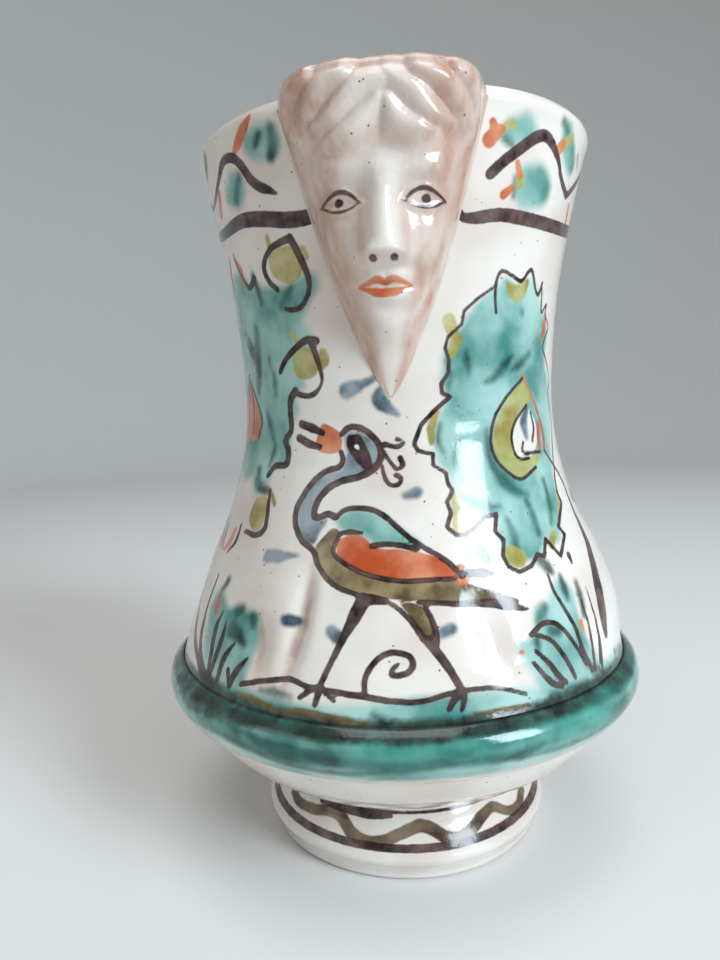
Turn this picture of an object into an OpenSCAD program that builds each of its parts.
// Face jug: a thrown earthenware jug with a moulded mask spout at the front and a pulled strap
// handle at the back. The pieces of clay are luted to each other with a thin coat of slip.
// The axis of the jug is Z, the foot stands on z = 0, and the mask looks along -Y.

/* [Foot] */
// Largest radius of the foot
foot_r = 43.5; // [36:0.5:50]
// How much narrower the foot is where it stands
foot_taper = 2.2; // [1:0.1:3]
// Height of the foot's edge
foot_edge_h = 8.5; // [6:0.5:11]
// Height of the sloping part between the edge and the stem
foot_slope_h = 9.5; // [7:0.5:13]
// Radius of the stem, where the foot meets the bowl
stem_r = 36; // [32:0.5:39]
// Thickness of the foot's wall
foot_wall = 6.5; // [5:0.5:8]
// Rounding of the foot's edge
foot_round = 1.8; // [1:0.1:2.4]

/* [Bowl] */
// Height of the bowl, from the stem to the seam
bowl_h = 36; // [30:0.5:44]
// Radius of the bowl at the seam
bowl_r = 68; // [60:0.5:76]
// Thickness of the floor
floor_t = 6; // [5:0.5:8]
// Thickness of the thrown walls
wall = 5.5; // [4.5:0.5:7]

/* [Cordon] */
// Height of the roll of clay that covers the seam
cordon_h = 15; // [11:0.5:18]
// How far the roll stands out from the bowl
cordon_out = 3.4; // [2.5:0.1:5]
// How far the roll reaches above the seam
cordon_above = 3; // [2:0.5:4]

/* [Body] */
// Height from the seam to the shoulder
shoulder_h = 13; // [10:0.5:16]
// How much narrower the shoulder is than the seam
shoulder_in = 3.7; // [2:0.1:7]
// Height from the shoulder to the waist
flare_h = 61; // [52:1:70]
// Radius at the waist
waist_r = 45.5; // [40:0.5:50]
// Height from the waist to the rim
neck_h = 72; // [62:1:82]
// Radius of the rim
rim_r = 55.6; // [50:0.1:60]

/* [Mask spout] */
// How far the spout's lip stands out from the rim
spout_reach = 10.5; // [9:0.5:14]
// Width of the mask at the rim, measured round the neck
mask_w = 50; // [44:1:56]
// Height of the mask, from its pointed end to the rim
mask_h = 71; // [62:1:76]
// Rise of the lip's middle above the rim
lip_rise = 1.5; // [1:0.1:3]
// Thickness of the spout's wall
spout_wall = 6; // [5:0.5:7.5]
// Width of the notch in the neck behind the spout, at the rim
notch_w = 30; // [24:1:34]
// Depth of that notch below the rim
notch_h = 40; // [32:1:44]
// Height of the nose above the face
nose_out = 5.5; // [3:0.5:7]
// Height of the other moulded relief above the face
relief_out = 2.4; // [1:0.1:3]

/* [Handle] */
// Depth of the handle's upper root below the rim
handle_drop = 15; // [12:0.5:20]
// Height of the handle's lower root above the seam
handle_rise = 30; // [26:0.5:36]
// Clear room for fingers between the waist and the handle
finger_room = 36; // [30:1:44]
// Width of the strap at the upper root
handle_w = 25; // [20:0.5:30]
// Width of the strap at the lower root
handle_end_w = 20; // [16:0.5:26]
// Thickness of the strap
handle_t = 10; // [8:0.5:12]

/* [Hidden] */
$fn = 96;

// Slip between two pieces that are luted together on a curved face
slip = 0.15;
// Overrun of every cut past the face that it opens
cut_over = 2;
// Inward lean of the foot's inner wall towards the stem
foot_lean = 1;
// Angle at which the rounding of the foot's edge runs into the slope
foot_round_end = 60;

glaze_white = "#efe6da";
glaze_green = "#4f9c88";
glaze_flesh = "#e8d3c6";

stem_z = foot_edge_h + foot_slope_h;
seam_z = stem_z + bowl_h;
shoulder_z = seam_z + shoulder_h;
shoulder_r = bowl_r - shoulder_in;
waist_z = shoulder_z + flare_h;
rim_z = waist_z + neck_h;
lip_round = wall / 2;
mask_z = rim_z - mask_h;

// Radius and height of the hollow in the foot's slope
foot_hollow_shares = [0.3, 0.5];
// Steepness of the bowl's curve, which rises fast from the stem and ends upright at the seam
bowl_power_share = 2.2;
// Heights and radii between the shoulder and the waist, and between the waist and the rim
flare_shares = [[0.28, 0.68], [0.55, 0.30], [0.8, 0.07]];
neck_shares = [[0.2, 0.03], [0.45, 0.2], [0.75, 0.6]];
// Height and radius of the hollow just above the seam
seam_shares = [0.46, 0.58];

// How full the cordon's section is
cordon_round_share = 0.8;

// Number of steps along a thrown wall
wall_steps = 44;
bowl_steps = 22;
round_steps = 8;

function lerp(a, b, t) = a + (b - a) * t;
function clamp01(t) = min(1, max(0, t));
function smooth(t) = let (c = clamp01(t)) c * c * (3 - 2 * c);
function bump(d) = exp(-d * d);
function sum(list) = list * [for (x = list) 1];

// Radius of the bowl's outside at height z
function bowl_out(z) =
    let (t = clamp01((z - stem_z) / bowl_h))
    stem_r + (bowl_r - stem_r) * (1 - pow(1 - t, bowl_power_share));

// Knots of the body's outside, from the seam to the rim, as [height, radius]
body_knots = concat(
    [[seam_z, bowl_r],
     [lerp(seam_z, shoulder_z, seam_shares[0]), lerp(bowl_r, shoulder_r, seam_shares[1])],
     [shoulder_z, shoulder_r]],
    [for (k = flare_shares) [lerp(shoulder_z, waist_z, k[0]), lerp(waist_r, shoulder_r, k[1])]],
    [[waist_z, waist_r]],
    [for (k = neck_shares) [lerp(waist_z, rim_z, k[0]), lerp(waist_r, rim_r, k[1])]],
    [[rim_z, rim_r]]);

// Slope of the body's outside at knot i
function knot_slope(i) =
    let (a = body_knots[max(0, i - 1)], b = body_knots[min(len(body_knots) - 1, i + 1)])
    (b[1] - a[1]) / (b[0] - a[0]);

// Index of the stretch of body_knots that holds height z
function stretch(z, i = 0) =
    i >= len(body_knots) - 2 || z < body_knots[i + 1][0] ? i : stretch(z, i + 1);

// Radius of the body's outside at height z: a smooth curve through the knots
function body_out(z) =
    let (i = stretch(z), a = body_knots[i], b = body_knots[i + 1], h = b[0] - a[0],
         t = clamp01((z - a[0]) / h), u = 1 - t)
    a[1] * (1 + 2 * t) * u * u + b[1] * t * t * (3 - 2 * t)
    + h * (knot_slope(i) * t * u * u - knot_slope(i + 1) * t * t * u);

// Outline points of an arc about (x, y)
function arc(x, y, r, from, to, steps = round_steps) =
    [for (i = [0:steps]) let (a = lerp(from, to, i / steps)) [x + r * cos(a), y + r * sin(a)]];

module pedestal_foot() {
    color(glaze_white)
    rotate_extrude()
    polygon(concat(
        [[foot_r - foot_taper - foot_wall, 0]],
        arc(foot_r - foot_taper - foot_round, foot_round, foot_round, -90, 0),
        arc(foot_r - foot_round, foot_edge_h - foot_round, foot_round, 0, foot_round_end),
        [[lerp(stem_r, foot_r, foot_hollow_shares[0]), lerp(foot_edge_h, stem_z, foot_hollow_shares[1])],
         [stem_r, stem_z],
         [stem_r - foot_wall, stem_z],
         [stem_r - foot_wall + foot_lean, foot_edge_h]]));
}

module lower_bowl() {
    outside = [for (i = [0:bowl_steps]) let (z = lerp(stem_z, seam_z, i / bowl_steps)) [bowl_out(z), z]];
    inside = [for (i = [bowl_steps:-1:0])
        let (z = lerp(stem_z + floor_t, seam_z, i / bowl_steps)) [bowl_out(z - floor_t) - wall, z]];
    color(glaze_white)
    rotate_extrude()
    polygon(concat([[0, stem_z]], outside, inside, [[0, stem_z + floor_t]]));
}

// How far the roll stands out at height z
function cordon_bulge(z) =
    let (t = clamp01((z - seam_z - cordon_above + cordon_h) / cordon_h))
    cordon_out * pow(sin(180 * t), cordon_round_share);
// Radius of the wall under the roll
function wall_out(z) = z < seam_z ? bowl_out(z) : body_out(z);

module seam_cordon() {
    low_z = seam_z + cordon_above - cordon_h;
    high_z = seam_z + cordon_above;
    heights = [for (i = [0:bowl_steps]) lerp(low_z, high_z, i / bowl_steps)];
    color(glaze_green)
    rotate_extrude()
    polygon(concat(
        [for (z = heights) [wall_out(z) + slip, z]],
        [for (i = [bowl_steps - 1:-1:1]) let (z = heights[i]) [wall_out(z) + slip + cordon_bulge(z), z]]));
}

// V-shaped notch that opens the neck into the spout
module spout_notch() {
    translate([0, 0, rim_z])
    rotate([90, 0, 0])
    linear_extrude(rim_r + cut_over)
    polygon([[-notch_w / 2, 0], [0, -notch_h], [notch_w / 2, 0],
             [notch_w / 2, cut_over], [-notch_w / 2, cut_over]]);
}

module upper_body() {
    top_z = rim_z - lip_round;
    heights = [for (i = [0:wall_steps]) lerp(seam_z, top_z, i / wall_steps)];
    color(glaze_white)
    difference() {
        rotate_extrude()
        polygon(concat(
            [for (z = heights) [body_out(z), z]],
            arc(body_out(top_z) - lip_round, top_z, lip_round, 0, 180),
            [for (i = [wall_steps:-1:0]) [body_out(heights[i]) - wall, heights[i]]]));
        spout_notch();
    }
}

// Rows of the mask from its pointed end to the rim, and columns across it
mask_rows = 40;
mask_columns = 34;
// Height of the lowest row, as a share of the mask's height
mask_start_share = 0.02;
// How fast the mask widens and gains depth upwards, and how square its section is
mask_widen_share = 0.65;
mask_deepen_share = 3;
mask_square_shares = [3.6, 0.9];
// How late the rise of the lip starts
lip_power_share = 8;

// Moulded features of each half of the face, on the usual proportions of a head, as shares:
// place and half width across, of mask_w; place and half height up, of mask_h; depth, of relief_out
brow_shares = [0.145, 0.11, 0.68, 0.033, 0.55];
socket_shares = [0.145, 0.09, 0.6, 0.06, -0.8];
eyeball_shares = [0.145, 0.055, 0.6, 0.032, 0.55];
cheek_shares = [0.18, 0.08, 0.46, 0.09, 0.5];
nostril_shares = [0.05, 0.03, 0.435, 0.028, 0.55];
upper_lip_shares = [0, 0.085, 0.355, 0.022, 0.6];
mouth_shares = [0, 0.085, 0.325, 0.015, -0.45];
lower_lip_shares = [0, 0.075, 0.292, 0.024, 0.65];
chin_shares = [0, 0.075, 0.2, 0.055, 0.9];
feature_shares = [brow_shares, socket_shares, eyeball_shares, cheek_shares, nostril_shares,
                  upper_lip_shares, mouth_shares, lower_lip_shares, chin_shares];
// The nose: heights where it starts, is highest, thins out and ends, of mask_h
nose_height_shares = [0.38, 0.43, 0.67, 0.77];
// Its half widths at the tip and the bridge, of mask_w, and the bridge's height, of nose_out
nose_width_shares = [0.058, 0.036];
nose_bridge_share = 0.35;
// The hair: heights where it starts, is full, thins out and ends at the lip, of mask_h
hair_height_shares = [0.75, 0.83, 0.92, 1];
// Its locks: pitch, half width and slant to the side, of mask_w, and the depth between them
hair_locks = 5;
lock_shares = [0.17, 0.075, 0.06];
hair_bed_share = 0.45;

// Half width of the mask round the neck, at share v of its height
function mask_half(v) = mask_w / 2 * pow(v, mask_widen_share);
// Depth of the plain spout over the neck at place s across it, from -1 to 1
function mask_plain(s, v) =
    spout_reach * (1 - pow(1 - v, mask_deepen_share))
    * pow(1 - pow(abs(s), mask_square_shares[0]), mask_square_shares[1]);

// One moulded feature at distance a from the middle and share v of the height, of unit depth
function mould(a, v, f) = f[4] * bump((a / mask_w - f[0]) / f[1]) * bump((v - f[2]) / f[3]);
// Rise from 0 to 1 between two heights, and back to 0 between two more
function span(v, h) = smooth((v - h[0]) / (h[1] - h[0])) * (1 - smooth((v - h[2]) / (h[3] - h[2])));

function nose_relief(a, v) =
    let (h = nose_height_shares, up = clamp01((v - h[1]) / (h[2] - h[1])))
    span(v, h) * lerp(1, nose_bridge_share, up)
    * bump(a / mask_w / lerp(nose_width_shares[0], nose_width_shares[1], up));

// Locks of hair that sweep aside from the middle
function hair_relief(a, v) =
    let (h = hair_height_shares, up = (v - h[1]) / (h[3] - h[0]))
    span(v, h) * lerp(hair_bed_share, 1, max([for (i = [0:hair_locks - 1])
        let (k = i - (hair_locks - 1) / 2)
        bump((a / mask_w - k * (lock_shares[0] + up * lock_shares[2])) / lock_shares[1])]));

// Relief of the face at distance a from its middle, at share v of its height
function face_relief(a, v) =
    nose_out * nose_relief(a, v)
    + relief_out * (hair_relief(a, v) + sum([for (f = feature_shares) mould(abs(a), v, f)]));

// Point at place s across the mask, at share v of its height and depth d over the neck
function mask_point(s, v, d) =
    let (z = mask_z + v * mask_h + lip_rise * (1 - s * s) * pow(v, lip_power_share),
         r = body_out(z) + slip + d,
         a = s * mask_half(v) / body_out(z) * 180 / PI)
    [r * sin(a), -r * cos(a), z];

module mask_spout() {
    n = mask_columns;
    rows = [for (i = [0:mask_rows]) lerp(mask_start_share, 1, i / mask_rows)];
    columns = [for (j = [0:n]) sin(90 * (2 * j / n - 1))];
    // The edge columns lie on the neck, so the front and the back share their points
    fronts = [for (v = rows) for (s = columns)
        let (plain = mask_plain(s, v), a = s * mask_half(v))
        mask_point(s, v, plain + face_relief(a, v) * smooth(plain / spout_wall))];
    backs = [for (v = rows) for (j = [1:n - 1])
        mask_point(columns[j], v, max(0, mask_plain(columns[j], v) - spout_wall))];
    first_back = len(fronts);
    function front(i, j) = i * (n + 1) + j;
    function back(i, j) =
        j == 0 || j == n ? front(i, j) : first_back + i * (n - 1) + j - 1;
    function quad(a, b, c, d) = [for (t = [[a, b, c], [a, c, d]])
        if (t[0] != t[1] && t[1] != t[2] && t[2] != t[0]) t];
    faces = [
        for (i = [0:mask_rows - 1]) for (j = [0:n - 1])
            each quad(front(i, j), front(i + 1, j), front(i + 1, j + 1), front(i, j + 1)),
        for (i = [0:mask_rows - 1]) for (j = [0:n - 1])
            each quad(back(i, j), back(i, j + 1), back(i + 1, j + 1), back(i + 1, j)),
        for (j = [0:n - 1])
            each quad(front(0, j), front(0, j + 1), back(0, j + 1), back(0, j)),
        for (j = [0:n - 1])
            each quad(front(mask_rows, j + 1), front(mask_rows, j),
                      back(mask_rows, j), back(mask_rows, j + 1))];
    color(glaze_flesh)
    polyhedron(points = concat(fronts, backs), faces = faces, convexity = 8);
}

// Rings along the strap, and sides of its section
strap_rings = 34;
strap_sides = 20;
// How square the strap's section is
strap_square_share = 0.7;
// Rise of the strap above its upper root, and above its lower root, as shares of the finger room
strap_top_share = 0.35;
strap_end_share = 0.6;
// How far the curve's handles reach past the strap's furthest point, as shares of its reach
strap_pull_shares = [1.42, 1.2];

strap_top_z = rim_z - handle_drop;
strap_end_z = seam_z + handle_rise;
strap_far = waist_r + finger_room + handle_t / 2;

strap_top_y = body_out(strap_top_z);
strap_end_y = body_out(strap_end_z);

// Middle line of the strap in the plane x = 0, as [y, z]
strap_curve = [
    [strap_top_y, strap_top_z],
    [lerp(strap_top_y, strap_far, strap_pull_shares[0]), strap_top_z + finger_room * strap_top_share],
    [lerp(strap_end_y, strap_far, strap_pull_shares[1]), strap_end_z + finger_room * strap_end_share],
    [strap_end_y, strap_end_z]];

function bezier(p, t) =
    let (u = 1 - t)
    u * u * u * p[0] + 3 * u * u * t * p[1] + 3 * u * t * t * p[2] + t * t * t * p[3];
function bezier_way(p, t) =
    let (u = 1 - t, d = 3 * (u * u * (p[1] - p[0]) + 2 * u * t * (p[2] - p[1]) + t * t * (p[3] - p[2])))
    d / norm(d);
function signed_power(x, p) = sign(x) * pow(abs(x), p);

// Point of the strap's section at ring t and angle a
function strap_point(t, a) =
    let (c = bezier(strap_curve, t), w = bezier_way(strap_curve, t),
         across = lerp(handle_w, handle_end_w, t) / 2 * signed_power(cos(a), strap_square_share),
         out = handle_t / 2 * signed_power(sin(a), strap_square_share))
    [across, c[0] - w[1] * out, c[1] + w[0] * out];
// The same point moved on to the outside of the body
function rooted(p) =
    let (r = body_out(p[2]) + slip) [p[0], sqrt(r * r - p[0] * p[0]), p[2]];

module strap_handle() {
    n = strap_sides;
    angles = [for (j = [0:n - 1]) 360 * j / n];
    rings = [for (i = [0:strap_rings]) for (a = angles)
        let (p = strap_point(i / strap_rings, a)) i == 0 || i == strap_rings ? rooted(p) : p];
    top_root = rooted([0, strap_curve[0][0], strap_curve[0][1]]);
    end_root = rooted([0, strap_curve[3][0], strap_curve[3][1]]);
    top_i = len(rings);
    end_i = top_i + 1;
    last = strap_rings * n;
    faces = [
        for (i = [0:strap_rings - 1]) for (j = [0:n - 1])
            let (a = i * n + j, b = i * n + (j + 1) % n)
            each [[a, b, b + n], [a, b + n, a + n]],
        for (j = [0:n - 1]) [top_i, (j + 1) % n, j],
        for (j = [0:n - 1]) [end_i, last + j, last + (j + 1) % n]];
    color(glaze_white)
    polyhedron(points = concat(rings, [top_root, end_root]), faces = faces, convexity = 6);
}

pedestal_foot();
lower_bowl();
seam_cordon();
upper_body();
mask_spout();
strap_handle();
